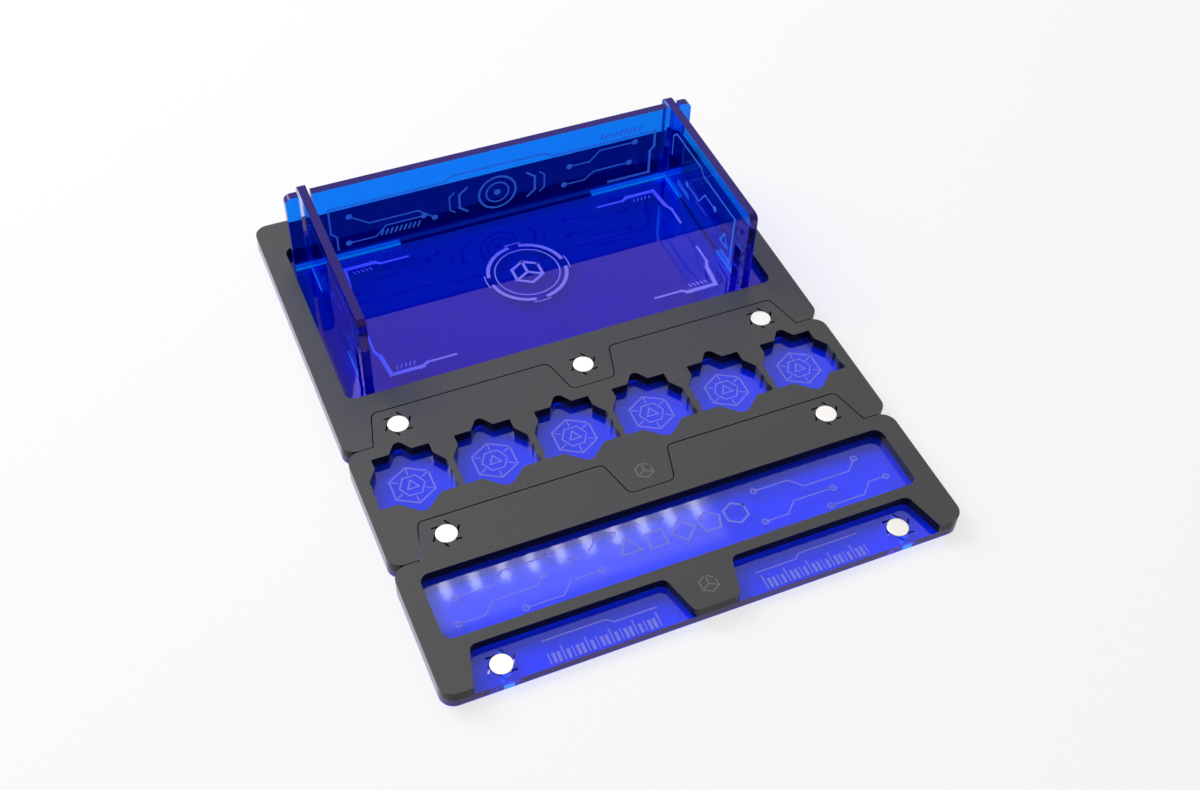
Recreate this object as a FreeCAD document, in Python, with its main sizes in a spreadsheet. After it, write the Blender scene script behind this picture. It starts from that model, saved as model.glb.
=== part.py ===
import FreeCAD, Part
import math
import os
import Sketcher

# Dice tray in three flat modules, each an acrylic top sheet bonded to a clear base sheet.
#
# The rear module has a walled rolling well, the middle one six die pockets and the front one a
# trough. Tabs on each module's top sheet lie on the ledges of the module behind it, where disc
# magnets meet. The walls are flat sheets that cross at half-height slots and stand in the floor.
# Millimetres: X to the right, Y to the rear, Z up, origin under the middle of the tray.

SIZES = {
    # the three modules and their sheets
    "tray_width": 170.0,
    "front_depth": 46.5,
    "middle_depth": 46.5,
    "rear_depth": 113.2,
    "module_gap": 0.3,
    "base_sheet": 3.2,
    "top_sheet": 3.4,
    "wall_sheet": 3.0,
    "corner_radius": 4.8,
    # ledges along each module's front edge, and the tongue between them
    "ledge_depth": 13.6,
    "ledge_margin": 9.2,
    "ledge_slant": 3.5,
    "ledge_radius": 2.4,
    "tongue_width": 15.0,
    "tongue_radius": 2.2,
    "joint_gap": 0.4,
    # disc magnets, each in a hole with six relief slits
    "magnet_diameter": 7.0,
    "magnet_height": 3.0,
    "magnet_edge": 0.25,
    "magnet_play": 0.02,
    "magnet_side": 19.7,
    "magnet_setback": 7.2,
    "tongue_magnet_setback": 8.8,
    "slit_count": 6,
    "slit_width": 0.6,
    "slit_inset": 0.3,
    "slit_overrun": 0.3,
    # trough of the front module
    "trough_margin": 6.7,
    "trough_setback": 3.8,
    "trough_depth": 24.0,
    "trough_radius": 3.2,
    # die pockets of the middle module: the outlines of several dice laid over each other
    "pocket_count": 6,
    "pocket_pitch": 27.35,
    "pocket_setback": 8.4,
    "pocket_rear_margin": 4.6,
    "foot_excess": 7.6,
    "foot_height": 6.0,
    "foot_lean": 1.5,
    "foot_radius": 1.0,
    "square_rise": 0.9,
    "decagon_excess": 7.4,
    "decagon_rise": 7.6,
    "kite_excess": 8.4,
    "kite_drop": 6.1,
    "kite_waist": 6.1,
    "kite_rear_reach": 5.2,
    "kite_front_radius": 3.2,
    "kite_side_radius": 2.3,
    "kite_rear_radius": 1.9,
    # window of the rear module
    "window_margin": 7.5,
    "window_setback": 8.0,
    "window_rear_margin": 14.4,
    "window_radius": 3.2,
    # walls of the rolling well
    "wall_rise": 32.8,
    "wall_radius": 2.4,
    "slot_play": 0.8,
    "lap_play": 0.2,
    "floor_play": 0.15,
    "side_wall_inset": 14.5,
    "side_wall_setback": 3.7,
    "side_wall_leg": 3.2,
    "side_tab_length": 12.3,
    "rear_wall_setback": 20.3,
    "rear_wall_nub": 4.7,
    "rear_tab_length": 38.6,
}

doc = FreeCAD.newDocument("DiceTray")
sheet = doc.addObject("Spreadsheet::Sheet", "Sizes")
for row, (name, number) in enumerate(SIZES.items(), start=1):
    sheet.set(f"A{row}", name)
    sheet.set(f"B{row}", str(number))
    sheet.setAlias(f"B{row}", name)
doc.recompute()

# Places shared by several pieces, as formulas of the sizes.
HALF_WIDTH = "Sizes.tray_width / 2"
DEPTH = "(Sizes.front_depth + Sizes.middle_depth + Sizes.rear_depth + 2 * Sizes.module_gap)"
FRONT_Y = f"-{DEPTH} / 2"
MIDDLE_Y = f"{FRONT_Y} + Sizes.front_depth + Sizes.module_gap"
REAR_Y = f"{MIDDLE_Y} + Sizes.middle_depth + Sizes.module_gap"

LEDGE_OUTER = f"({HALF_WIDTH} - Sizes.ledge_margin)"
TONGUE_HALF = "(Sizes.tongue_width / 2)"
MAGNET_RADIUS = "(Sizes.magnet_diameter / 2)"
MAGNET_X = f"({HALF_WIDTH} - Sizes.magnet_side)"
MAGNET_Y = "(Sizes.ledge_depth - Sizes.magnet_setback)"

# A pocket's square fills the strip between the ledges and the rear edge; the rest is set off from it.
SQUARE_REAR = "(Sizes.middle_depth - Sizes.ledge_depth - Sizes.pocket_setback - Sizes.pocket_rear_margin)"
SQUARE_SIDE = f"({SQUARE_REAR} - Sizes.square_rise)"

WALL_HEIGHT = "(Sizes.base_sheet + Sizes.wall_rise)"
SIDE_OUTER = f"({HALF_WIDTH} - Sizes.side_wall_inset)"
SIDE_INNER = f"({SIDE_OUTER} - Sizes.wall_sheet)"
REAR_HALF = f"({SIDE_OUTER} + Sizes.slot_play + Sizes.rear_wall_nub)"
REAR_BACK = "(Sizes.rear_depth - Sizes.rear_wall_setback)"
REAR_FACE = f"({REAR_BACK} - Sizes.wall_sheet)"
SLOT_WIDTH = "(Sizes.wall_sheet + 2 * Sizes.slot_play)"
SIDE_START = "(Sizes.ledge_depth + Sizes.window_setback + Sizes.side_wall_setback)"
SIDE_END = f"({REAR_BACK} + Sizes.slot_play + Sizes.side_wall_leg)"
SIDE_LENGTH = f"({SIDE_END} - {SIDE_START})"
SIDE_TAB_START = f"(Sizes.side_wall_leg + {SLOT_WIDTH})"
SIDE_TAB_END = f"({SIDE_TAB_START} + Sizes.side_tab_length)"

TOLERANCE = 1e-6


def value(formula):
    """The number that a formula of the sizes gives."""
    return float(sheet.evalExpression(formula))


def new_body(label, x="0", y="0", z="0"):
    """An empty piece whose own origin is placed at x, y, z of the tray."""
    body = doc.addObject("PartDesign::Body", label)
    body.Label = label
    for axis, formula in (("x", x), ("y", y), ("z", z)):
        body.setExpression(f"Placement.Base.{axis}", formula)
    return body


def new_sketch(body, name, plane="XY_Plane", x="0", y="0"):
    """A sketch on one of the piece's own origin planes, its origin moved to x, y in the plane."""
    sketch = body.newObject("Sketcher::SketchObject", name)
    support = [item for item in body.Origin.OriginFeatures if item.Role == plane][0]
    sketch.AttachmentSupport = (support, [""])
    sketch.MapMode = "FlatFace"
    sketch.setExpression("AttachmentOffset.Base.x", x)
    sketch.setExpression("AttachmentOffset.Base.y", y)
    return sketch


def tie(sketch, kind, formula, *where):
    """Add a dimension that follows a formula of the sizes."""
    index = sketch.addConstraint(Sketcher.Constraint(kind, *where, value(formula)))
    sketch.setExpression(f"Constraints[{index}]", formula)


def place_point(sketch, item, point, x, y):
    """Hold one point of a sketch at x, y; a zero puts it on the sketch's own axis."""
    for kind, axis, formula in (("DistanceX", -2, x), ("DistanceY", -1, y)):
        if formula == "0":
            sketch.addConstraint(Sketcher.Constraint("PointOnObject", item, point, axis))
        else:
            tie(sketch, kind, formula, -1, 1, item, point)


def corner_arc(before, corner, after, radius):
    """Arc that rounds a corner: its curve, its two ends, and whether the outline turns left there."""
    to_before = (before - corner).normalize()
    to_after = (after - corner).normalize()
    half_angle = to_before.getAngle(to_after) / 2
    reach = radius / math.tan(half_angle)
    start = corner + to_before * reach
    end = corner + to_after * reach
    middle = (to_before + to_after).normalize()
    centre = corner + middle * (radius / math.sin(half_angle))
    left_turn = to_after.cross(to_before).z > 0
    first, last = (start, end) if left_turn else (end, start)
    first_angle = math.atan2(first.y - centre.y, first.x - centre.x)
    last_angle = math.atan2(last.y - centre.y, last.x - centre.x)
    if last_angle < first_angle:
        last_angle += 2 * math.pi
    circle = Part.Circle(centre, FreeCAD.Vector(0, 0, 1), radius)
    return Part.ArcOfCircle(circle, first_angle, last_angle), start, end, left_turn


def outline(sketch, corners):
    """Closed outline, corners listed counter-clockwise as (x, y) or, where rounded, (x, y, radius)."""
    count = len(corners)
    points = [FreeCAD.Vector(value(corner[0]), value(corner[1]), 0) for corner in corners]
    arcs = {}
    for index, corner in enumerate(corners):
        if len(corner) == 3:
            before = points[index - 1]
            after = points[(index + 1) % count]
            arcs[index] = corner_arc(before, points[index], after, value(corner[2]))
    lines = []
    for index in range(count):
        following = (index + 1) % count
        start = arcs[index][2] if index in arcs else points[index]
        end = arcs[following][1] if following in arcs else points[following]
        lines.append(sketch.addGeometry(Part.LineSegment(start, end), False))
    for index, corner in enumerate(corners):
        before = lines[index - 1]
        after = lines[index]
        if index not in arcs:
            sketch.addConstraint(Sketcher.Constraint("Coincident", before, 2, after, 1))
            place_point(sketch, after, 1, corner[0], corner[1])
            continue
        curve, _, _, left_turn = arcs[index]
        arc = sketch.addGeometry(curve, False)
        mark = sketch.addGeometry(Part.Point(points[index]), True)
        first, last = (1, 2) if left_turn else (2, 1)
        sketch.addConstraint(Sketcher.Constraint("Tangent", before, 2, arc, first))
        sketch.addConstraint(Sketcher.Constraint("Tangent", arc, last, after, 1))
        sketch.addConstraint(Sketcher.Constraint("PointOnObject", mark, 1, before))
        sketch.addConstraint(Sketcher.Constraint("PointOnObject", mark, 1, after))
        place_point(sketch, mark, 1, corner[0], corner[1])
        tie(sketch, "Radius", corner[2], arc)


def box_outline(sketch, left, right, front, rear, radius=None):
    """Rectangle between four formulas, its corners rounded where a radius is given."""
    corners = [(left, front), (right, front), (right, rear), (left, rear)]
    if radius:
        corners = [(x, y, radius) for x, y in corners]
    outline(sketch, corners)


def pad(body, sketch, thickness, reverse=False):
    """Thicken a sketch into the piece's first solid."""
    feature = body.newObject("PartDesign::Pad", f"{sketch.Name}_pad")
    feature.Profile = sketch
    feature.setExpression("Length", thickness)
    feature.Reversed = reverse
    doc.recompute()
    return feature


def cut(body, sketch, thickness):
    """Cut a sketch through a sheet that lies above its own ground plane."""
    before = body.Shape.Volume
    feature = body.newObject("PartDesign::Pocket", f"{sketch.Name}_cut")
    feature.Profile = sketch
    feature.Reversed = True
    feature.setExpression("Length", thickness)
    doc.recompute()
    if body.Shape.Volume > before - TOLERANCE:
        raise RuntimeError(f"{sketch.Name} cuts nothing from {body.Label}")
    return feature


def magnet_seat(body, name, x, y, thickness):
    """Round hole for a magnet, with slits off its rim that let it give."""
    hole = new_sketch(body, f"{name}_hole", x=x, y=y)
    circle = Part.Circle(FreeCAD.Vector(0, 0, 0), FreeCAD.Vector(0, 0, 1), value(MAGNET_RADIUS))
    item = hole.addGeometry(circle, False)
    hole.addConstraint(Sketcher.Constraint("Coincident", item, 3, -1, 1))
    tie(hole, "Radius", f"{MAGNET_RADIUS} + Sizes.magnet_play", item)
    cut(body, hole, thickness)
    slit = new_sketch(body, f"{name}_slit", x=x, y=y)
    low = f"{MAGNET_RADIUS} - Sizes.slit_inset - Sizes.slit_width / 2"
    high = f"{MAGNET_RADIUS} - Sizes.slit_inset + Sizes.slit_width / 2"
    box_outline(slit, f"-({MAGNET_RADIUS} + Sizes.slit_overrun)", "0", low, high)
    first = cut(body, slit, thickness)
    ring = body.newObject("PartDesign::PolarPattern", f"{name}_slits")
    ring.Originals = [first]
    ring.Axis = (slit, ["N_Axis"])
    ring.Angle = 360
    ring.setExpression("Occurrences", "Sizes.slit_count")
    body.Tip = ring
    doc.recompute()


def ledge_front(front_corners):
    """Front edge of a top sheet from left to right: corner, ledge, tongue, ledge, corner."""
    rear_outer = f"{LEDGE_OUTER} - Sizes.ledge_slant"
    rear_inner = f"{TONGUE_HALF} + Sizes.ledge_slant"
    half = [
        (f"{HALF_WIDTH}", "0", "Sizes.corner_radius"),
        (LEDGE_OUTER, "0"),
        (rear_outer, "Sizes.ledge_depth", "Sizes.ledge_radius"),
        (rear_inner, "Sizes.ledge_depth", "Sizes.ledge_radius"),
        (TONGUE_HALF, "0", "Sizes.tongue_radius"),
    ]
    left = [(f"-({corner[0]})",) + corner[1:] for corner in half]
    front_corners.extend(left + half[::-1])


def tab_rear(rear_corners, depth):
    """Rear edge of a top sheet from right to left, with two tabs that fill the next ledges."""
    slope = "Sizes.ledge_slant / Sizes.ledge_depth"
    tab_end = f"{depth} + Sizes.module_gap + Sizes.ledge_depth - Sizes.joint_gap"
    root_shift = f"{slope} * Sizes.module_gap"
    end_shift = f"{slope} * (Sizes.ledge_depth - Sizes.joint_gap)"
    half = [
        (HALF_WIDTH, depth, "Sizes.corner_radius"),
        (f"{LEDGE_OUTER} + {root_shift} - Sizes.joint_gap", depth),
        (f"{LEDGE_OUTER} - {end_shift} - Sizes.joint_gap", tab_end, "Sizes.ledge_radius - Sizes.joint_gap"),
        (f"{TONGUE_HALF} + {end_shift} + Sizes.joint_gap", tab_end, "Sizes.ledge_radius - Sizes.joint_gap"),
        (f"{TONGUE_HALF} - {root_shift} + Sizes.joint_gap", depth, "Sizes.tongue_radius + Sizes.joint_gap"),
    ]
    left = [(f"-({corner[0]})",) + corner[1:] for corner in half]
    rear_corners.extend(half + left[::-1])


def top_sheet(label, module_y, depth, tabs):
    """Dark sheet on a module, with its ledges, its seats for magnets in the tabs and no window yet."""
    body = new_body(label, y=module_y, z="Sizes.base_sheet")
    sketch = new_sketch(body, f"{label}_outline")
    corners = []
    ledge_front(corners)
    if tabs:
        tab_rear(corners, depth)
    else:
        corners.append((HALF_WIDTH, depth, "Sizes.corner_radius"))
        corners.append((f"-{HALF_WIDTH}", depth, "Sizes.corner_radius"))
    outline(sketch, corners)
    pad(body, sketch, "Sizes.top_sheet")
    if tabs:
        tab_magnet_y = f"{depth} + Sizes.module_gap + {MAGNET_Y}"
        for side, sign in (("left", "-"), ("right", "")):
            magnet_seat(body, f"{label}_{side}", f"{sign}{MAGNET_X}", tab_magnet_y, "Sizes.top_sheet")
    return body


def base_plate(label, module_y, depth):
    """Clear sheet under a module, with a seat for a magnet in each ledge."""
    body = new_body(label, y=module_y)
    sketch = new_sketch(body, f"{label}_outline")
    box_outline(sketch, f"-{HALF_WIDTH}", HALF_WIDTH, "0", depth, "Sizes.corner_radius")
    pad(body, sketch, "Sizes.base_sheet")
    for side, sign in (("left", "-"), ("right", "")):
        magnet_seat(body, f"{label}_{side}", f"{sign}{MAGNET_X}", MAGNET_Y, "Sizes.base_sheet")
    return body


def magnet(label, x, y, z):
    """Disc magnet with softened rims, standing on the level z."""
    body = new_body(label, x=x, y=y, z=z)
    sketch = new_sketch(body, f"{label}_disc")
    circle = Part.Circle(FreeCAD.Vector(0, 0, 0), FreeCAD.Vector(0, 0, 1), value(MAGNET_RADIUS))
    item = sketch.addGeometry(circle, False)
    sketch.addConstraint(Sketcher.Constraint("Coincident", item, 3, -1, 1))
    tie(sketch, "Radius", MAGNET_RADIUS, item)
    disc = pad(body, sketch, "Sizes.magnet_height")
    rims = []
    for index, edge in enumerate(disc.Shape.Edges, start=1):
        if len(edge.Vertexes) == 1:
            rims.append(f"Edge{index}")
    softened = body.newObject("PartDesign::Fillet", f"{label}_rims")
    softened.Base = (disc, rims)
    softened.setExpression("Radius", "Sizes.magnet_edge")
    doc.recompute()
    return body


def magnet_pair(module, place, y, z):
    """The left and right magnets of a module's ledges or tabs."""
    for side, sign in (("left", "-"), ("right", "")):
        magnet(f"{module}_{place}_magnet_{side}", f"{sign}{MAGNET_X}", y, z)


def front_top_frame():
    """Front module's top sheet: a frame round the trough."""
    body = top_sheet("front_top_frame", FRONT_Y, "Sizes.front_depth", tabs=True)
    sketch = new_sketch(body, "trough_outline")
    edge = f"({HALF_WIDTH} - Sizes.trough_margin)"
    front = "Sizes.ledge_depth + Sizes.trough_setback"
    box_outline(sketch, f"-{edge}", edge, front, f"{front} + Sizes.trough_depth", "Sizes.trough_radius")
    cut(body, sketch, "Sizes.top_sheet")


def middle_pocket_plate():
    """Middle module's top sheet: a row of pockets, each shaped to take any of the usual dice."""
    body = top_sheet("middle_pocket_plate", MIDDLE_Y, "Sizes.middle_depth", tabs=True)
    first_x = "-(Sizes.pocket_count - 1) / 2 * Sizes.pocket_pitch"
    base_y = "Sizes.ledge_depth + Sizes.pocket_setback"
    foot_half = f"({SQUARE_SIDE} + Sizes.foot_excess) / 2"
    square_half = f"{SQUARE_SIDE} / 2"
    decagon_radius = f"({SQUARE_SIDE} + Sizes.decagon_excess) / 2"
    kite_half = f"({SQUARE_SIDE} + Sizes.kite_excess) / 2"
    decagon = [(f"-{square_half}", "0"), (square_half, "0")]
    for angle in range(-18, 199, 36):
        across = f"{decagon_radius} * cos({angle})"
        along = f"Sizes.decagon_rise + {decagon_radius} * sin({angle})"
        decagon.append((across, along))
    shapes = {
        "foot": [
            (f"-{foot_half}", "0", "Sizes.foot_radius"),
            (foot_half, "0", "Sizes.foot_radius"),
            (f"{foot_half} - Sizes.foot_lean", "Sizes.foot_height"),
            (f"-{foot_half} + Sizes.foot_lean", "Sizes.foot_height"),
        ],
        "square": [
            (f"-{square_half}", "Sizes.square_rise"),
            (square_half, "Sizes.square_rise"),
            (square_half, SQUARE_REAR),
            (f"-{square_half}", SQUARE_REAR),
        ],
        "decagon": decagon,
        "kite": [
            ("0", "-Sizes.kite_drop", "Sizes.kite_front_radius"),
            (kite_half, "Sizes.kite_waist", "Sizes.kite_side_radius"),
            ("0", f"{SQUARE_REAR} + Sizes.kite_rear_reach", "Sizes.kite_rear_radius"),
            (f"-{kite_half}", "Sizes.kite_waist", "Sizes.kite_side_radius"),
        ],
    }
    cuts = []
    for name, corners in shapes.items():
        sketch = new_sketch(body, f"pocket_{name}", x=first_x, y=base_y)
        outline(sketch, corners)
        cuts.append(cut(body, sketch, "Sizes.top_sheet"))
    row = body.newObject("PartDesign::LinearPattern", "pocket_row")
    row.Originals = cuts
    row.Direction = (cuts[0].Profile[0], ["H_Axis"])
    row.setExpression("Length", "(Sizes.pocket_count - 1) * Sizes.pocket_pitch")
    row.setExpression("Occurrences", "Sizes.pocket_count")
    body.Tip = row
    doc.recompute()


def rear_top_frame():
    """Rear module's top sheet: a frame round the window, with one magnet seat in its tongue."""
    body = top_sheet("rear_top_frame", REAR_Y, "Sizes.rear_depth", tabs=False)
    sketch = new_sketch(body, "window_outline")
    edge = f"({HALF_WIDTH} - Sizes.window_margin)"
    front = "Sizes.ledge_depth + Sizes.window_setback"
    rear = "Sizes.rear_depth - Sizes.window_rear_margin"
    box_outline(sketch, f"-{edge}", edge, front, rear, "Sizes.window_radius")
    cut(body, sketch, "Sizes.top_sheet")
    magnet_seat(body, "tongue", "0", "Sizes.tongue_magnet_setback", "Sizes.top_sheet")


def rear_base_plate():
    """Rear module's base, with floor slots for the tabs of the three walls."""
    body = base_plate("rear_base_plate", REAR_Y, "Sizes.rear_depth")
    tab_inner = f"({REAR_HALF} - Sizes.rear_tab_length - Sizes.floor_play)"
    tab_outer = f"({REAR_HALF} + Sizes.floor_play)"
    inner = f"({SIDE_INNER} - Sizes.floor_play)"
    outer = f"({SIDE_OUTER} + Sizes.floor_play)"
    rear_slot = (f"{REAR_FACE} - Sizes.floor_play", f"{REAR_BACK} + Sizes.floor_play")
    leg_slot = (f"{SIDE_START} - Sizes.floor_play", f"{SIDE_START} + Sizes.side_wall_leg + Sizes.floor_play")
    front_slot = (
        f"{SIDE_START} + {SIDE_TAB_START} - Sizes.floor_play",
        f"{SIDE_START} + {SIDE_TAB_END} + Sizes.floor_play",
    )
    back_slot = (f"{SIDE_END} - {SIDE_TAB_END} - Sizes.floor_play", f"{SIDE_END} + Sizes.floor_play")
    slots = {
        "rear_wall": (tab_inner, tab_outer, rear_slot),
        "side_leg": (inner, outer, leg_slot),
        "side_front": (inner, outer, front_slot),
        "side_back": (inner, outer, back_slot),
    }
    for name, (near, far, (front, rear)) in slots.items():
        sketch = new_sketch(body, f"slots_{name}")
        box_outline(sketch, f"-{far}", f"-{near}", front, rear)
        box_outline(sketch, near, far, front, rear)
        cut(body, sketch, "Sizes.base_sheet")


def rear_wall():
    """Wall across the rear of the well: a tab at each end, and slots in its top for the side walls."""
    body = new_body("rear_wall", y=f"{REAR_Y} + {REAR_FACE}")
    slot_outer = f"({SIDE_OUTER} + Sizes.slot_play)"
    slot_inner = f"({SIDE_INNER} - Sizes.slot_play)"
    slot_floor = f"{WALL_HEIGHT} / 2 - Sizes.lap_play"
    tab_inner = f"({REAR_HALF} - Sizes.rear_tab_length)"
    half = [
        (tab_inner, "Sizes.base_sheet"),
        (tab_inner, "0"),
        (REAR_HALF, "0"),
        (REAR_HALF, WALL_HEIGHT, "Sizes.wall_radius"),
        (slot_outer, WALL_HEIGHT),
        (slot_outer, slot_floor),
        (slot_inner, slot_floor),
        (slot_inner, WALL_HEIGHT),
    ]
    left = [(f"-({corner[0]})",) + corner[1:] for corner in half[::-1]]
    sketch = new_sketch(body, "rear_wall_outline", "XZ_Plane")
    outline(sketch, half + left)
    pad(body, sketch, "Sizes.wall_sheet", reverse=True)


def side_wall(label, inner_x):
    """Wall along one side of the well, with a slot in its lower edge near each end."""
    body = new_body(label, x=inner_x, y=f"{REAR_Y} + {SIDE_START}")
    slot_top = f"{WALL_HEIGHT} / 2"
    front = [
        ("0", "0"),
        ("Sizes.side_wall_leg", "0"),
        ("Sizes.side_wall_leg", slot_top),
        (SIDE_TAB_START, slot_top),
        (SIDE_TAB_START, "0"),
        (SIDE_TAB_END, "0"),
        (SIDE_TAB_END, "Sizes.base_sheet"),
    ]
    rear = [(f"{SIDE_LENGTH} - ({y})", z) for y, z in front[::-1]]
    top = [
        (SIDE_LENGTH, WALL_HEIGHT, "Sizes.wall_radius"),
        ("0", WALL_HEIGHT, "Sizes.wall_radius"),
    ]
    sketch = new_sketch(body, f"{label}_outline", "YZ_Plane")
    outline(sketch, front + rear + top)
    pad(body, sketch, "Sizes.wall_sheet")


def build():
    """Make every piece of the tray."""
    base_plate("front_base_plate", FRONT_Y, "Sizes.front_depth")
    front_top_frame()
    base_plate("middle_base_plate", MIDDLE_Y, "Sizes.middle_depth")
    middle_pocket_plate()
    rear_base_plate()
    rear_top_frame()
    rear_wall()
    side_wall("left_wall", f"-{SIDE_OUTER}")
    side_wall("right_wall", SIDE_INNER)
    ledge_level = "Sizes.base_sheet - Sizes.magnet_height"
    tab_level = "Sizes.base_sheet + Sizes.top_sheet - Sizes.magnet_height"
    magnet_pair("front", "ledge", f"{FRONT_Y} + {MAGNET_Y}", ledge_level)
    magnet_pair("front", "tab", f"{MIDDLE_Y} + {MAGNET_Y}", tab_level)
    magnet_pair("middle", "ledge", f"{MIDDLE_Y} + {MAGNET_Y}", ledge_level)
    magnet_pair("middle", "tab", f"{REAR_Y} + {MAGNET_Y}", tab_level)
    magnet_pair("rear", "ledge", f"{REAR_Y} + {MAGNET_Y}", ledge_level)
    magnet("rear_tongue_magnet", "0", f"{REAR_Y} + Sizes.tongue_magnet_setback", tab_level)


def export():
    """Check every object and piece, then write one file for each piece."""
    for item in doc.Objects:
        if "Invalid" in item.State or "Error" in item.State:
            raise RuntimeError(f"{item.Label} is in state {item.State}")
    pieces = [item for item in doc.Objects if item.TypeId == "PartDesign::Body"]
    for piece in pieces:
        shape = piece.Shape
        if shape.isNull() or not shape.isValid() or len(shape.Solids) != 1:
            raise RuntimeError(f"{piece.Label} is not one valid solid")
    os.makedirs("parts", exist_ok=True)
    for piece in pieces:
        box = piece.Shape.BoundBox
        piece.Shape.exportStep(f"parts/{piece.Label}.step")
        size = f"{box.XLength:.2f} x {box.YLength:.2f} x {box.ZLength:.2f}"
        print(f"{piece.Label}: {size} mm, {piece.Shape.Volume:.1f} mm3")


build()
doc.recompute()
export()
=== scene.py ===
# %% [markdown]
# # A modular dice tray in clear blue acrylic
# The tray is three flat modules joined edge to edge: a walled well at the back, a row of six pockets
# and a trough at the front. Each module is a matte dark sheet bonded to a clear blue base.
# The construction comes ready made as a fixed frame. This lesson gives it its finishes, its laser
# engraving, a table, lamps and a camera.

# %% Load the frame
import bpy
import bmesh
import math
from mathutils import Matrix, Vector


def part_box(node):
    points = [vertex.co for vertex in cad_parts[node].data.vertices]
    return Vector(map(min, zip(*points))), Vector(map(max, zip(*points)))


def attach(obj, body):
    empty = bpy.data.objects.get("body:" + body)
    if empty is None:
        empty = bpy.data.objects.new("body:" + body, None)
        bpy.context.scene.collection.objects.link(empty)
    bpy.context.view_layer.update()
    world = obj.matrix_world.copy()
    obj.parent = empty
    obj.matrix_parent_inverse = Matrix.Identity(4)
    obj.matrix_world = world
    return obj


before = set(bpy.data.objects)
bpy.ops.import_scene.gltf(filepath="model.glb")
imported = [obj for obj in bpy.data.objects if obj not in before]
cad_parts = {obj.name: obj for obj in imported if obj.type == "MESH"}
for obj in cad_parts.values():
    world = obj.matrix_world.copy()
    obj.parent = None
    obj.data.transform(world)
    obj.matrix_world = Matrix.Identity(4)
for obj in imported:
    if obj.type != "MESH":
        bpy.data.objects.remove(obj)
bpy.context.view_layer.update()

# %% [markdown]
# ## Shader maths as plain expressions
# Node trees are quick to read when their arithmetic is written as arithmetic. A small class wraps
# a socket, so that an expression such as 1 - mask adds its own Math node.

# %% A socket that can be calculated with
class Value:
    def __init__(self, finish, node, output=0):
        self.finish, self.node, self.output = finish, node, output

    def out(self, name):
        return Value(self.finish, self.node, name)

    def math(self, operation, first, second):
        return self.finish.add("Math", {"operation": operation}, {0: first, 1: second})

    def __add__(self, other):
        return self.math("ADD", self, other)

    def __sub__(self, other):
        return self.math("SUBTRACT", self, other)

    def __rsub__(self, other):
        return self.math("SUBTRACT", other, self)

    def __mul__(self, other):
        return self.math("MULTIPLY", self, other)

    def above(self, limit):
        return self.math("GREATER_THAN", self, limit)

    def below(self, limit):
        return self.math("LESS_THAN", self, limit)

    def size(self):
        return self.math("ABSOLUTE", self, 0.0)

    def either(self, other):
        return self.math("MAXIMUM", self, other)

    __radd__ = __add__
    __rmul__ = __mul__


print("sockets take +, - and *, and the words above, below, size and either")

# %% [markdown]
# ## One method for every other node
# A finish owns a node tree, of a material or of the world. Every node that isn't arithmetic comes
# from its method add, which sets the node's options before it fills or links its sockets. Patterns
# are read from Object coordinates, which stay with the piece when it moves.

# %% A finish and its nodes
EDGE_LIMIT = 0.5


class Finish:
    def __init__(self, owner, output="OutputMaterial"):
        self.owner, self.output = owner, output
        owner.use_nodes = True
        self.tree = owner.node_tree
        self.tree.nodes.clear()

    def add(self, kind, settings=None, inputs=None):
        node = self.tree.nodes.new("ShaderNode" + kind)
        for option, value in (settings or {}).items():
            setattr(node, option, value)
        for place, value in (inputs or {}).items():
            if isinstance(value, Value):
                self.tree.links.new(value.node.outputs[value.output], node.inputs[place])
            else:
                node.inputs[place].default_value = value
        return Value(self, node)

    def show(self, surface):
        self.add(self.output, None, {"Surface": surface})
        return self.owner

    def place(self):
        return self.add("TexCoord").out("Object")

    def noise(self, scale, detail=2.0):
        return self.add("TexNoise", None, {"Vector": self.place(), "Scale": scale, "Detail": detail})

    def blend(self, share, first, second):
        mix = self.add("Mix", {"data_type": "RGBA"}, {0: share, 6: first, 7: second})
        return mix.out(2)

    def normal(self, axis):
        return self.add("SeparateXYZ", None, {0: self.add("NewGeometry").out("Normal")}).out(axis)

    def cut_edge(self, thin_axis):
        """1 on the cut edge of a sheet that is thin along X, Y or Z, and 0 on its broad faces."""
        return self.normal(thin_axis).size().below(EDGE_LIMIT)


def new_finish(name):
    return Finish(bpy.data.materials.new(name))


print("a cut edge has a normal below", EDGE_LIMIT, "along the sheet's thin axis")

# %% [markdown]
# ## The matte sheet
# The top sheets are dark grey acrylic with a fine satin grain, cut by laser. The grain could be
# an image, but noise on Object coordinates keeps the same scale on every module. The cut edges are
# smooth and nearly black, so the surface normal picks them out and gives them a shader of their own.
# Where a sheet is seen through a wall or a base, a navy shader is painted in: painted light,
# which stands in for the blue light that reaches the sheet through the acrylic.

# %% Matte grey finish
FACE_SHADES = ((0.0, 0.0, 0.002, 1), (0.044, 0.043, 0.046, 1))
CUT_SHADES = ((0.003, 0.003, 0.006, 1), (0.006, 0.006, 0.010, 1))
# painted light: the navy colours of a sheet seen through the acrylic
PAINTED_NAVY_LIGHT = ((0.004, 0.004, 0.08, 1), (0.007, 0.006, 0.11, 1))
PAINTED_NAVY_GLARE = (0.2, 0.2, 1.0, 1)


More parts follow.
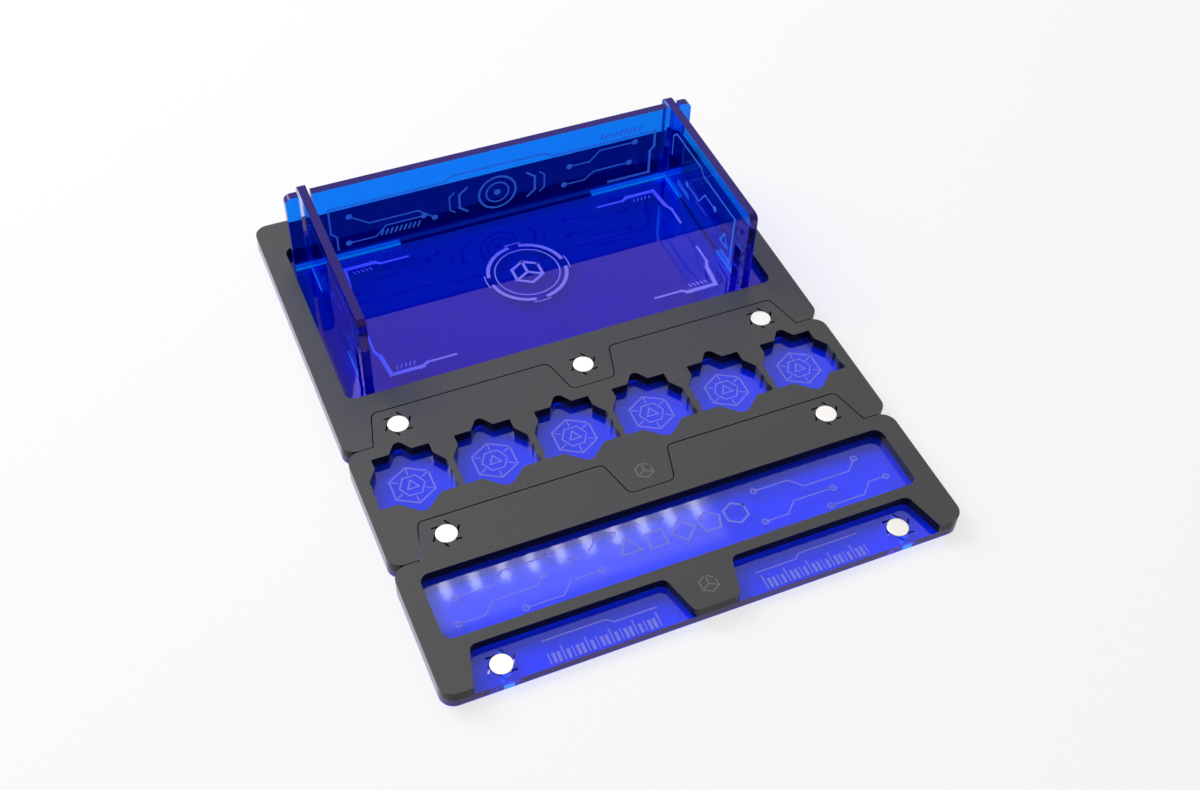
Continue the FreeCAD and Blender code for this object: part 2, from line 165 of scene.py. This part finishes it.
def matte_sheet():
    finish = new_finish("matte_grey_sheet")
    grain = finish.noise(1500.0, 4.0)
    cloud = finish.noise(28.0, 3.0)
    bump = finish.add("Bump", None, {"Strength": 0.22, "Distance": 0.0001, "Height": grain})
    face = finish.add("BsdfPrincipled", None, {
        "Base Color": finish.blend(cloud * 0.2 + 0.8 * grain, *FACE_SHADES),
        "Roughness": 0.40 + 0.24 * grain, "Normal": bump})
    edge = finish.add("BsdfPrincipled", None, {
        "Base Color": finish.blend(cloud, *CUT_SHADES),
        "Roughness": 0.10 + 0.08 * grain, "Specular IOR Level": 0.2})
    sheet = finish.add("MixShader", None, {0: finish.cut_edge("Z"), 1: face, 2: edge})
    # painted light: navy where the sheet is seen through the acrylic, for the blue light that reaches it
    painted_navy_light = finish.add("BsdfPrincipled", None, {
        "Base Color": finish.blend(grain, *PAINTED_NAVY_LIGHT),
        "Roughness": 0.5, "Specular Tint": PAINTED_NAVY_GLARE, "Specular IOR Level": 0.2})
    through = finish.add("LightPath").out("Is Transmission Ray")
    return finish.show(finish.add("MixShader", None, {0: through, 1: sheet, 2: painted_navy_light}))


grey = matte_sheet()
print("finish:", grey.name)

# %% [markdown]
# ## Painted glow where light leaves the acrylic
# Where a wall's tabs stand in the floor's slots, light comes up from the table through the wall
# alone, so its foot shows as a thin azure line. A base's cut edge lets light out along its foot, and
# in an azure spot before each magnet's hole, which works as a lens. Neither is rendered as light:
# both are painted glows, emission on masks in metres, on Object coordinates, that turn from black to a
# glow.

# %% Painted glow on the walls' feet and the bases' edges
BLACK = (0, 0, 0, 1)
# painted glows: emission colours for light that leaves the acrylic
PAINTED_AZURE_GLOW = (0.0, 0.13, 0.62, 1)
PAINTED_LINE_BLUE = (0.01, 0.03, 0.60, 1)
PAINTED_SPOT_BLUE = (0.0, 0.22, 0.75, 1)
FOOT_START, FOOT_END = 0.0031, 0.0044
LINE_HEIGHT = 0.0004
SPOT_HEIGHT = 0.0021
SPOT_REACH = 0.0016
MAGNET_X = sum(corner.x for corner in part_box("front_ledge_magnet_right")) / 2


def painted_wall_foot_glow(finish, along, spans):
    """Painted azure glow on the lowest visible millimetre of a wall, over its tabs: spans lie along X or
    Y.
    """
    split = finish.add("SeparateXYZ", None, {0: finish.place()})
    height, run = split.out("Z"), split.out(along)
    if along == "X":
        run = run.size()
    low = height.above(FOOT_START) * height.below(FOOT_END)
    tabs = 0.0
    for start, end in spans:
        tabs = tabs + run.above(start) * run.below(end)
    return finish.blend(low * tabs, BLACK, PAINTED_AZURE_GLOW)


def painted_edge_glow(finish):
    """Painted glow: a blue line at the foot of a base's cut edge, and a spot before each magnet."""
    split = finish.add("SeparateXYZ", None, {0: finish.place()})
    height = split.out("Z")
    line = finish.blend(height.below(LINE_HEIGHT), BLACK, PAINTED_LINE_BLUE)
    before_magnet = (split.out("X").size() - MAGNET_X).size().below(SPOT_REACH)
    return finish.blend(before_magnet * height.below(SPOT_HEIGHT), line, PAINTED_SPOT_BLUE)


print("the front magnets lie", round(MAGNET_X, 4), "m from the middle")

# %% [markdown]
# ## Clear blue acrylic
# A sheet of this acrylic passes blue light and holds back the rest. It is real refracting glass to
# the camera. Lamps, though, would be stopped by it, and the table below would go black, so for
# shadow rays a tinted see-through shader stands in. Such a ray meets a sheet's two faces, so each
# face takes the square root of the shade. The laser leaves the cut edges polished but darker,
# because there the light has a long way through the blue. An edge that faces up gets an opaque plum
# colour instead: a painted highlight, which stands in for the lamps' light on it.

# %% Clear blue finish
ACRYLIC = 1.49
FACING_UP = 0.3
EDGE_BLUE = (0.006, 0.025, 0.70, 1)
# painted highlight: the plum of the cut edges that face up
PAINTED_PLUM_CREST = (0.006, 0.002, 0.16, 1)
RIM_GLARE = (1.0, 0.45, 1.0, 1)
PAINTED_CREST_GLARE = (0.86, 0.55, 1.0, 1)


def clear_blue(name, thin_axis, tint, shade, polish, glare, gloss, along=None, spans=()):
    finish = new_finish(name)
    haze = finish.noise(900.0)
    body_look = {"Base Color": tint, "Roughness": polish + 0.01 * haze, "IOR": ACRYLIC,
                 "Transmission Weight": 1.0, "Specular Tint": glare, "Specular IOR Level": gloss}
    rim_look = {"Base Color": EDGE_BLUE, "Roughness": 0.05 + 0.03 * haze, "IOR": ACRYLIC,
                "Transmission Weight": 0.8, "Specular Tint": RIM_GLARE}
    if along:
        # painted glow: azure at a wall's foot over its tabs
        body_look["Emission Color"] = painted_wall_foot_glow(finish, along, spans)
        body_look["Emission Strength"] = 1.0
    if thin_axis == "Z":
        # painted glow: a line along a base's cut edge and a spot before each magnet
        rim_look["Emission Color"] = painted_edge_glow(finish)
        rim_look["Emission Strength"] = 1.0
    body = finish.add("BsdfPrincipled", None, body_look)
    rim = finish.add("BsdfPrincipled", None, rim_look)
    # painted highlight: opaque plum on the cut edges that face up, for the lamps' light on them
    painted_crest = finish.add("BsdfPrincipled", None, {
        "Base Color": PAINTED_PLUM_CREST, "Roughness": 0.14 + 0.08 * haze, "IOR": ACRYLIC,
        "Specular Tint": PAINTED_CREST_GLARE, "Specular IOR Level": 0.3})
    upward = finish.normal("Z").above(FACING_UP)
    side = finish.add("MixShader", None, {0: upward, 1: rim, 2: painted_crest})
    glass = finish.add("MixShader", None, {0: finish.cut_edge(thin_axis), 1: body, 2: side})
    per_face = tuple(math.sqrt(part) for part in shade[:3]) + (1,)
    lamp = finish.add("BsdfTransparent", None, {"Color": per_face})
    shadow = finish.add("LightPath").out("Is Shadow Ray")
    return finish.show(finish.add("MixShader", None, {0: shadow, 1: glass, 2: lamp}))


print("the acrylic's index of refraction:", ACRYLIC)

# %% [markdown]
# The bases, the well and the walls share this acrylic, but not one look. The bases have the
# softest polish, the well's floor has a deeper blue, partly painted shade from the walls round it,
# and mirrors with a violet cast, and the upright walls are paler, because the light goes through
# them once, and not down to the table and back. The spans say where a wall's tabs are, in metres.

# %% The four blues
BLUE = (0.004, 0.095, 0.80, 1)
# partly painted shade: the well's deeper blue darkens it as its walls would
WELL_BLUE_WITH_PAINTED_SHADE = (0.003, 0.005, 0.47, 1)
WALL_BLUE = (0.006, 0.21, 0.98, 1)
WALL_SHADE = (0.002, 0.02, 0.95, 1)
PALE_GLARE = (0.92, 0.94, 1.0, 1)
WELL_GLARE = (0.62, 0.36, 1.0, 1)
WALL_GLARE = (0.05, 0.05, 1.0, 1)
SIDE_TABS = [(0.0233, 0.0356), (0.067, 0.0793)]
REAR_TABS = [(0.0374, 0.076)]
base_blue = clear_blue("clear_blue_base", "Z", BLUE, BLUE, 0.04, PALE_GLARE, 0.5)
# the well's floor: its deeper blue is partly painted shade
well_blue = clear_blue("clear_blue_well", "Z", WELL_BLUE_WITH_PAINTED_SHADE, WELL_BLUE_WITH_PAINTED_SHADE, 0.01, WELL_GLARE, 1.0)
side_blue = clear_blue("clear_blue_side_wall", "X", WALL_BLUE, WALL_SHADE, 0.01, WALL_GLARE, 1.0,
                       "Y", SIDE_TABS)
rear_blue = clear_blue("clear_blue_rear_wall", "Y", WALL_BLUE, WALL_SHADE, 0.01, WALL_GLARE, 1.0,
                       "X", REAR_TABS)
print("clear finishes:", base_blue.name, well_blue.name, side_blue.name, rear_blue.name)

# %% [markdown]
# ## Nickel-plated magnets
# The discs are plated with bright nickel that is finely scuffed. They are all metal, so their look
# is what they mirror, softened by a little roughness.

# %% Nickel finish
NICKEL_SHADES = ((0.68, 0.665, 0.64, 1), (0.60, 0.585, 0.56, 1))


def nickel():
    finish = new_finish("bright_nickel")
    scuff = finish.noise(1500.0, 4.0)
    return finish.show(finish.add("BsdfPrincipled", None, {
        "Base Color": finish.blend(scuff, *NICKEL_SHADES),
        "Metallic": 1.0, "Roughness": 0.24 + 0.16 * scuff}))


bright = nickel()
print("finish:", bright.name)

# %% [markdown]
# ## Frosted engraving
# The laser leaves the acrylic rough where it engraves, which scatters light and looks lilac on blue
# and a shade paler on grey. A pattern in the material could draw it, but here each drawing is a
# very thin piece of its own, so that its outline stays sharp at any distance. On the walls the
# lines let part of the light through, which leaves them darker than the bright upper band and
# paler than the dark lower one. There they also have a faint painted glow, an emission that stands
# in for the light they scatter from behind.

# %% Frosted finishes
THROUGH_FROST = (0.3, 0.45, 0.85, 1)


def frosted(name, light, dark, glow=0.0, clear=0.0):
    finish = new_finish(name)
    speckle = finish.noise(3200.0, 3.0)
    bump = finish.add("Bump", None, {"Strength": 0.3, "Distance": 0.0001, "Height": speckle})
    # glow paints light into the frost as emission; only the walls' lines have it
    frost = finish.add("BsdfPrincipled", None, {
        "Base Color": finish.blend(speckle, dark, light), "Roughness": 0.7 + 0.2 * speckle,
        "Normal": bump, "Emission Color": light, "Emission Strength": glow})
    if not clear:
        return finish.show(frost)
    open_part = finish.add("BsdfTransparent", None, {"Color": THROUGH_FROST})
    return finish.show(finish.add("MixShader", None, {0: clear, 1: frost, 2: open_part}))


frost_well = frosted("frosted_well", (0.32, 0.28, 0.88, 1), (0.18, 0.15, 0.74, 1))
frost_pale = frosted("frosted_pale", (0.25, 0.27, 0.88, 1), (0.14, 0.16, 0.78, 1))
# painted glow: the walls' lines emit a little of their light colour
frost_wall = frosted("frosted_wall", (0.09, 0.34, 0.95, 1), (0.03, 0.20, 0.80, 1), 0.25, 0.5)
frost_grey = frosted("frosted_grey", (0.17, 0.17, 0.165, 1), (0.12, 0.12, 0.118, 1))
print("frosted:", frost_well.name, frost_pale.name, frost_wall.name, frost_grey.name)

# %% [markdown]
# ## Dress the frame
# Every node of the frame keeps its mesh and gets its finish by its own material slot.

# %% Give each node its finish
def dress(node, material):
    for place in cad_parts[node].material_slots:
        place.material = material
    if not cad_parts[node].material_slots:
        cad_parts[node].data.materials.append(material)


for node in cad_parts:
    if "magnet" in node:
        dress(node, bright)
    elif node == "rear_base_plate":
        dress(node, well_blue)
    elif "base_plate" in node:
        dress(node, base_blue)
    elif node == "rear_wall":
        dress(node, rear_blue)
    elif "wall" in node:
        dress(node, side_blue)
    else:
        dress(node, grey)
print("dressed", len(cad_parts), "nodes")

# %% [markdown]
# ## Tools for engraving
# An engraved drawing is bars, rings and discs, drawn flat in millimetres. A bar is a cube stretched
# between two points, and an outline is a row of bars. Neighbouring bars differ in thickness by
# steps of 0.008 mm, so that no two faces lie in one plane where bars cross.

# %% Bars and outlines
LIFT = 0.04
STEP = 0.008
STEPS = 5
CUBE_FACES = 6


def bar(shape, start, end, width):
    start, end = Vector(start), Vector(end)
    run = end - start
    middle = (start + end) / 2
    thick = LIFT + STEP * (len(shape.faces) // CUBE_FACES % STEPS)
    made = Matrix.Translation((middle.x, middle.y, LIFT / 2))
    made = made @ Matrix.Rotation(math.atan2(run.y, run.x), 4, "Z")
    made = made @ Matrix.Diagonal((run.length + width, width, thick, 1))
    bmesh.ops.create_cube(shape, size=1.0, matrix=made)


def path(shape, points, width):
    for start, end in zip(points, points[1:]):
        bar(shape, start, end, width)


def around(centre, radius, turn):
    """The point at this radius and angle, in degrees, round a centre."""
    return (centre[0] + radius * math.cos(math.radians(turn)),
            centre[1] + radius * math.sin(math.radians(turn)))


def polygon(shape, centre, radius, sides, turn, width):
    corners = [around(centre, radius, turn + 360 * step / sides) for step in range(sides + 1)]
    path(shape, corners, width)


print("bars are", LIFT, "to", LIFT + STEP * (STEPS - 1), "mm thick")

# %% [markdown]
# A ring is a small square spun about its centre. A whole ring gives up the square's own face first,
# because its two ends are merged, and an open one keeps it as an end cap. A disc is a capped
# circle, a little thicker than the bars that end in it.

# %% Rings and discs
WHOLE_TURN = 360.0
ARC_STEP = 6
DISC_LIFT = 0.05


def ring(shape, centre, radius, width, start=0.0, sweep=WHOLE_TURN):
    made = Matrix.Translation((centre[0], centre[1], 0)) @ Matrix.Rotation(math.radians(start), 4, "Z")
    made = made @ Matrix.Translation((radius, 0, LIFT / 2)) @ Matrix.Rotation(math.pi / 2, 4, "X")
    made = made @ Matrix.Diagonal((width, LIFT, 1, 1))
    square = bmesh.ops.create_grid(shape, x_segments=1, y_segments=1, size=0.5, matrix=made)["verts"]
    edge = {line for corner in square for line in corner.link_edges}
    face = {side for corner in square for side in corner.link_faces}
    whole = sweep >= WHOLE_TURN
    if whole:
        bmesh.ops.delete(shape, geom=list(face), context="FACES_ONLY")
        face = set()
    bmesh.ops.spin(shape, geom=square + list(edge) + list(face), cent=(centre[0], centre[1], 0),
                   axis=(0, 0, 1), angle=math.radians(sweep), steps=max(6, int(sweep / ARC_STEP)),
                   use_merge=whole)


def disc(shape, centre, radius):
    made = Matrix.Translation((centre[0], centre[1], LIFT / 2))
    bmesh.ops.create_cone(shape, cap_ends=True, segments=20, radius1=radius, radius2=radius,
                          depth=LIFT + DISC_LIFT, matrix=made)


print("a whole ring has", int(WHOLE_TURN / ARC_STEP), "steps")

# %% [markdown]
# A finished drawing is scaled to metres and stood on the surface that carries it, its doubles are
# merged and its faces turned outwards. It then rides on the same body as that surface and takes
# its slot.

# %% From a drawing to a piece
MM = 0.001
WELD = 0.0005
BASE_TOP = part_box("front_base_plate")[1].z / MM
SHEET_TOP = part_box("front_top_frame")[1].z / MM


def piece_from(name, shape, material):
    mesh = bpy.data.meshes.new(name)
    shape.to_mesh(mesh)
    shape.free()
    mesh.materials.append(material)
    piece = bpy.data.objects.new(name, mesh)
    bpy.context.scene.collection.objects.link(piece)
    print(name, "faces:", len(mesh.polygons))
    return piece


def engrave(name, shape, stand, body, material):
    bmesh.ops.remove_doubles(shape, verts=shape.verts, dist=WELD)
    bmesh.ops.transform(shape, matrix=Matrix.Scale(MM, 4) @ stand, verts=shape.verts)
    bmesh.ops.recalc_face_normals(shape, faces=shape.faces)
    piece = piece_from(name, shape, material)
    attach(piece, body)


def on_floor(height):
    return Matrix.Translation((0, 0, height))


print("base top", round(BASE_TOP, 2), "sheet top", round(SHEET_TOP, 2))

# %% [markdown]
# ## Engraving on the well's floor
# Broken rings round a whole one mark the middle, and in it lies a hexagon whose three spokes make
# it a cube seen from a corner. Stepped brackets hold the four corners of the floor.

# %% The well's ring and corners
WELL_MIDDLE = (0, 50.4)
CORNER_X, FRONT_CORNER, REAR_CORNER = 60, 20.5, 74.5


def cube_mark(shape, centre, radius, width):
    polygon(shape, centre, radius, 6, 30, width)
    for turn in (90, 210, 330):
        bar(shape, centre, around(centre, radius, turn), width)


def bracket(shape, corner, right, rear):
    x, y = corner
    path(shape, [(x + right * 11, y), (x, y), (x - right * 0.9, y + rear * 9)], 1.5)
    path(shape, [(x + right * 10, y - rear * 0.4), (x + right * 13, y + rear * 1.2)], 1.1)
    path(shape, [(x + right * 13, y + rear * 1.2), (x + right * 23, y + rear * 1.2)], 0.8)
    path(shape, [(x - right * 0.9, y + rear * 9), (x - right * 2.2, y + rear * 12)], 1.1)
    path(shape, [(x - right * 2.2, y + rear * 12), (x - right * 2.2, y + rear * 20)], 0.8)
    for step in range(5):
        left = x + right * (2.5 + 1.5 * step)
        bar(shape, (left, y + rear * 2.0), (left + right * 0.6, y + rear * 3.2), 0.4)


well = bmesh.new()
for start in (8, 98, 188, 278):
    ring(well, WELL_MIDDLE, 14.0, 1.3, start, 74)
ring(well, WELL_MIDDLE, 11.6, 0.45)
for turn in (0, 90, 180, 270):
    ring(well, WELL_MIDDLE, 15.4, 0.4, turn - 12, 24)
cube_mark(well, WELL_MIDDLE, 5.6, 1.0)
for right in (1, -1):
    bracket(well, (-right * CORNER_X, FRONT_CORNER), right, 1)
    bracket(well, (-right * CORNER_X, REAR_CORNER), right, -1)
engrave("well_floor_engraving", well, on_floor(BASE_TOP), "rear_module", frost_well)

# %% [markdown]
# ## Engraving in the pockets
# Each pocket's floor has a hexagon, with a smaller one and a triangle inside, tied by short spokes.
# One bmesh holds all six, because they share a surface and a finish.

# %% The pockets' hexagons
POCKET_COUNT = 6
POCKET_PITCH = 27.35
POCKET_Y = -26.4
pockets = bmesh.new()
for index in range(POCKET_COUNT):
    middle = ((index - (POCKET_COUNT - 1) / 2) * POCKET_PITCH, POCKET_Y)
    polygon(pockets, middle, 7.4, 6, 30, 0.5)
    polygon(pockets, middle, 4.2, 6, 0, 0.45)
    polygon(pockets, middle, 2.2, 3, 90, 0.45)
    for turn in range(30, 390, 60):
        bar(pockets, around(middle, 4.6, turn), around(middle, 6.6, turn), 0.4)
engrave("pocket_engraving", pockets, on_floor(BASE_TOP), "middle_module", frost_pale)

# %% [markdown]
# ## Engraving in the trough and on the ledges
# The trough has fine circuit lines that end in open pads, and a row of plain outlines from a
# triangle to a hexagon. The two front ledges have scales of narrow long bars and broad short ones.

# %% The trough and the ledges
LEDGE_EDGE = -102.6
SCALE_BARS = ((5.0, 0.45), (3.0, 0.95), (3.0, 0.95), (3.6, 0.4), (2.8, 0.95))


def trace(shape, points, width=0.45, pad=0.95):
    path(shape, points, width)
    ring(shape, points[0], pad, width)
    ring(shape, points[-1], pad, width)


front = bmesh.new()
for points in ([(-72, -80), (-64, -80), (-60, -76), (-46, -76), (-43, -73)],
               [(-70, -71), (-58, -71), (-54, -67), (-38, -67)],
               [(-52, -82), (-40, -82), (-36, -78), (-26, -78)],
               [(-34, -71), (-28, -71), (-24, -67), (-18, -67)],
               [(28, -80), (36, -80), (40, -76), (54, -76)],
               [(30, -68), (42, -68), (46, -72), (62, -72), (66, -68)],
               [(50, -82), (62, -82), (66, -78), (72, -78)]):
    trace(front, points)
for sides, turn, x in ((3, 90, -15), (4, 45, -6), (4, 0, 3), (5, 90, 12), (6, 30, 21)):
    polygon(front, (x, -73.5), 4.0, sides, turn, 0.7)
for side in (-1, 1):
    for tick in range(24):
        x = side * (17.5 + 1.5 * tick)
        length, width = SCALE_BARS[tick % len(SCALE_BARS)]
        bar(front, (x, LEDGE_EDGE + width / 2), (x, LEDGE_EDGE + length), width)
    path(front, [(side * 16.5, -96.0), (side * 30, -96.0), (side * 32, -94.4), (side * 52, -94.4)], 0.4)
engrave("front_floor_engraving", front, on_floor(BASE_TOP), "front_module", frost_pale)

# %% [markdown]
# ## Marks on the tongues
# A small cube outline is engraved on each tongue of the grey sheet, hardly paler than the sheet.

# %% The tongues' marks
for name, body, middle in (("front_tongue_mark", "front_module", (0.4, -96.2)),
                           ("middle_tongue_mark", "middle_module", (0.2, -50.0))):
    mark = bmesh.new()
    cube_mark(mark, middle, 3.0, 0.5)
    engrave(name, mark, on_floor(SHEET_TOP), body, frost_grey)

# %% [markdown]
# ## Engraving on the rear wall
# The wall is drawn flat like the floors and then stood up, by a quarter turn about X. It has a
# stepped border, a target with brackets in the middle, and circuit lines that end in filled pads.

# %% The rear wall
def stood(turn, place):
    return Matrix.Translation(place) @ Matrix.Rotation(math.radians(turn), 4, "Z") @ Matrix.Rotation(
        math.pi / 2, 4, "X")


TARGET = (0, 16.5)
WALL_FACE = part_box("rear_wall")[0].y / MM
rear = bmesh.new()
path(rear, [(-62, 27), (-20, 27), (-17, 29), (18, 29), (21, 27), (62, 27)], 0.6)
path(rear, [(-62, 27), (-62, 16), (-60, 14), (-60, 8)], 0.6)
path(rear, [(62, 27), (62, 20), (60.4, 18), (60.4, 8), (44, 8)], 1.0)
ring(rear, TARGET, 7.0, 0.8)
ring(rear, TARGET, 4.3, 0.6)
disc(rear, TARGET, 1.3)
for side in (-1, 1):
    path(rear, [(side * 11.5, 22), (side * 14.5, 19.5), (side * 14.5, 13.5), (side * 11.5, 11)], 0.8)
    path(rear, [(side * 16.4, 21), (side * 18.2, 19.4), (side * 18.2, 13.6), (side * 16.4, 12)], 0.5)
for points in ([(-55, 22), (-48, 17), (-30, 17), (-24, 12)], [(-56, 10), (-46, 10), (-42, 14), (-28, 14)],
               [(28, 20), (36, 20), (40, 24), (54, 24)], [(26, 12), (34, 12), (38, 15), (52, 15)]):
    trace(rear, points, 0.5, 0.9)
    disc(rear, points[0], 0.9)
    disc(rear, points[-1], 0.9)
for step in range(9):
    bar(rear, (-44 + 1.7 * step, 10.2), (-43.2 + 1.7 * step, 12.0), 0.7)
    bar(rear, (40 + 1.9 * step, 29.0), (41 + 1.9 * step, 30.6), 0.7)
engrave("rear_wall_engraving", rear, stood(0, (0, WALL_FACE, 0)), "rear_wall", frost_wall)

# %% [markdown]
# ## Engraving on the side walls
# Both side walls carry the same drawing on their inner faces. It is stood up like the rear wall's
# and turned by another quarter about Z, and one of the two is mirrored, so that both read from the
# front of the well to its back.

# %% The side walls
for side, body in ((-1, "left_wall"), (1, "right_wall")):
    flank = bmesh.new()
    path(flank, [(25.5, 27), (50, 27), (53, 29), (73, 29), (75.5, 26.5), (75.5, 18)], 0.6)
    path(flank, [(25.5, 27), (25.5, 7), (32, 7)], 1.0)
    polygon(flank, (31, 12.5), 3.2, 3, 90, 0.7)
    trace(flank, [(40, 20), (48, 20), (52, 14), (62, 14)], 0.5, 0.9)
    disc(flank, (40, 20), 0.9)
    disc(flank, (62, 14), 0.9)
    for step in range(7):
        bar(flank, (60 + 1.4 * step, 8.6), (60.7 + 1.4 * step, 10.4), 0.6)
    low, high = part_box(body)
    if side < 0:
        stand = stood(90, (high.x / MM, 0, 0))
    else:
        stand = stood(-90, (low.x / MM, 0, 0)) @ Matrix.Scale(-1, 4, (1, 0, 0))
    engrave(body + "_engraving", flank, stand, body, frost_wall)

# %% [markdown]
# ## The table
# The tray lies on a white table. The table is mostly its own white to the camera and to rays that
# come off metal, so that they meet the same background, while the rest of it is lit and keeps the
# tray's soft shadow. Rays through the acrylic see only the lit part, because under the dark sheets
# the table is in deep shade, and that shade gives the recesses their black rims.

# %% The table
WHITE = (1, 1, 1, 1)
PAINT = (0.95, 0.95, 0.95, 1)
OWN_WHITE = 0.74
TABLE_REACH = 3.0
TABLE_DROP = 0.0002


def white_table():
    finish = new_finish("white_table")
    rays = finish.add("LightPath")
    in_air = 1 - rays.out("Is Transmission Ray")
    seen = rays.out("Is Camera Ray").either(rays.out("Is Glossy Ray")) * in_air
    paint = finish.add("BsdfDiffuse", None, {"Color": PAINT})
    glow = finish.add("Emission", None, {"Color": WHITE, "Strength": 1.0})
    return finish.show(finish.add("MixShader", None, {0: OWN_WHITE * seen, 1: paint, 2: glow}))


table = bmesh.new()
bmesh.ops.create_grid(table, x_segments=1, y_segments=1, size=TABLE_REACH,
                      matrix=Matrix.Translation((0, 0, -TABLE_DROP)))
table_piece = piece_from("table", table, white_table())

# %% [markdown]
# ## Softboxes
# A big softbox hangs above and behind, which is what the clear floors and the magnets mirror: it
# lays a violet veil on the blue. Two softboxes at the back left do most of the lighting, so that
# each recess's rear rim throws its shade on the floor in front of it. Weaker ones stand at the
# front and the left.

# %% The softboxes
def softbox(name, place, aim, width, height, radiance):
    lamp = bpy.data.lights.new(name, "AREA")
    lamp.shape = "RECTANGLE"
    lamp.size, lamp.size_y = width, height
    lamp.energy = radiance * math.pi * width * height
    holder = bpy.data.objects.new(name, lamp)
    holder.location = place
    holder.rotation_euler = (Vector(aim) - Vector(place)).to_track_quat("-Z", "Y").to_euler()
    bpy.context.scene.collection.objects.link(holder)
    print(name, "watts:", round(lamp.energy, 2))


TRAY = (0, 0, 0)
softbox("rear_softbox", (0.35, 0.80, 1.05), (0.35, 0.80, 0), 1.2, 1.2, 0.36)
softbox("overhead_softbox", (-0.45, 0.40, 1.15), TRAY, 0.8, 0.8, 1.6)
softbox("back_softbox", (-0.75, 0.95, 0.95), TRAY, 0.9, 0.9, 6.8)
softbox("front_softbox", (-0.3, -1.5, 1.0), TRAY, 1.4, 0.9, 0.3)
softbox("left_softbox", (-1.5, 0.2, 0.9), TRAY, 0.9, 1.2, 1.0)

# %% [markdown]
# A row of narrow tubes in front of a dim diffuser is mirrored as bright streaks in the trough, with
# a pale veil between them. All of them start at the same far line. The diffuser is four sheets
# that reach less and less far and get brighter, and a tube has a long dim part and a short bright
# one, so that the streaks have a bright head and fade towards the front.

# %% The streak lamps
STREAK_LINE = 0.655
DIFFUSER_X, DIFFUSER_WIDTH, DIFFUSER_HEIGHT = 0.262, 0.36, 1.02
TUBE_START, TUBE_PITCH, TUBE_WIDTH, TUBE_HEIGHT = 0.1118, 0.0337, 0.010, 1.0
DIFFUSERS = ((0.10, 1.3), (0.08, 1.8), (0.06, 2.6), (0.045, 9.0))
TUBE_PARTS = (("long", 0.075, 10.0), ("short", 0.055, 20.0))


def hang(name, x, height, width, depth, radiance):
    """A lamp that faces straight down and ends at the streak line."""
    y = STREAK_LINE - depth / 2
    softbox(name, (x, y, height), (x, y, 0), width, depth, radiance)


for number, (depth, radiance) in enumerate(DIFFUSERS, 1):
    hang(f"diffuser_{number}", DIFFUSER_X, DIFFUSER_HEIGHT, DIFFUSER_WIDTH, depth, radiance)
for tube in range(10):
    for part, length, radiance in TUBE_PARTS:
        hang(f"tube_{tube + 1}_{part}", TUBE_START + TUBE_PITCH * tube, TUBE_HEIGHT, TUBE_WIDTH,
             length, radiance)

# %% [markdown]
# ## The room
# The room adds little light, but the camera, metal and clear acrylic see it as white as the table.

# %% The room
ROOM_LIGHT = 0.11
room = Finish(bpy.data.worlds.new("room"), "OutputWorld")
rays = room.add("LightPath")
shown = room.add("Background", None, {"Color": WHITE, "Strength": ROOM_LIGHT})
white = room.add("Background", None, {"Color": WHITE, "Strength": 1.0})
for ray in ("Is Camera Ray", "Is Glossy Ray", "Is Transmission Ray"):
    shown = room.add("MixShader", None, {0: rays.out(ray), 1: shown, 2: white})
bpy.context.scene.world = room.show(shown)
print("the room lights the tray with", ROOM_LIGHT)

# %% [markdown]
# ## The camera
# The camera stands left of the tray's middle line and looks down on it at 48 degrees. Its place and
# turn were solved from the tray's own straight edges.

# %% The camera
STAND = (-0.1398, -0.3120, 0.3730)
AZIMUTH, ELEVATION, ROLL = -25.22, 48.22, -2.82


def looking(azimuth, elevation, roll):
    turn, tilt, lean = (math.radians(angle) for angle in (azimuth, elevation, roll))
    ahead = Vector((-math.sin(turn) * math.cos(tilt), math.cos(turn) * math.cos(tilt), -math.sin(tilt)))
    right = Vector((math.cos(turn), math.sin(turn), 0))
    down = ahead.cross(right)
    across = math.cos(lean) * right + math.sin(lean) * down
    below = math.cos(lean) * down - math.sin(lean) * right
    return Matrix((across, -below, -ahead)).transposed().to_4x4()


lens = bpy.data.cameras.new("camera")
lens.lens = 45.018
lens.sensor_width = 36.0
lens.clip_start = 0.01
camera = bpy.data.objects.new("camera", lens)
camera.matrix_world = Matrix.Translation(STAND) @ looking(AZIMUTH, ELEVATION, ROLL)
bpy.context.scene.collection.objects.link(camera)
bpy.context.scene.camera = camera
bpy.context.scene.view_settings.view_transform = "Standard"
print("camera at", [round(part, 3) for part in camera.location])
